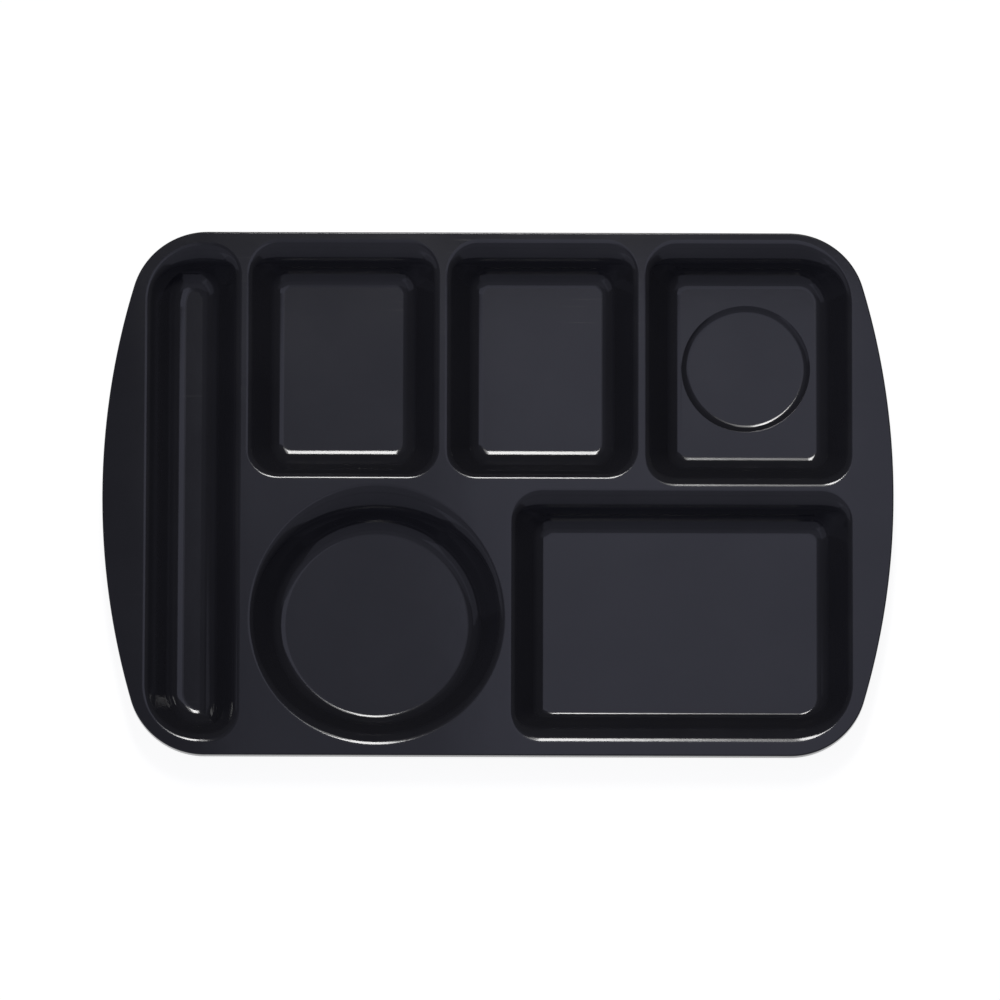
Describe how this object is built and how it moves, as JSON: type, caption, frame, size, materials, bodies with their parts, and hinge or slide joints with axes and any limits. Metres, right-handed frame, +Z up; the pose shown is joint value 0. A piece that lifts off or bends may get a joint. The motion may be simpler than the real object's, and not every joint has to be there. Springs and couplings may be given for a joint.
{
  "type": "compartment tray",
  "caption": "Rectangular serving tray moulded with separate food compartments, a cutlery trough along the left end, a cup recess and drooping grips at both ends.",
  "frame": {"origin": "on the table, under the middle of the tray's outline", "axes": "+X along the tray's length, away from the cutlery trough; +Y across it, away from the person who eats; +Z up"},
  "size_m": [0.381, 0.256, 0.023],
  "materials": {
    "melamine": "glossy black moulded melamine"
  },
  "bodies": {
    "root": {"deck": "melamine", "rim": "melamine", "left_grip": "melamine", "right_grip": "melamine", "cutlery_trough": "melamine", "back_left_well": "melamine", "back_middle_well": "melamine", "beverage_well": "melamine", "bowl_well": "melamine", "main_well": "melamine", "lug_back_left": "melamine", "lug_back_right": "melamine", "lug_front_left": "melamine", "lug_front_right": "melamine"}
  },
  "joints": []
}
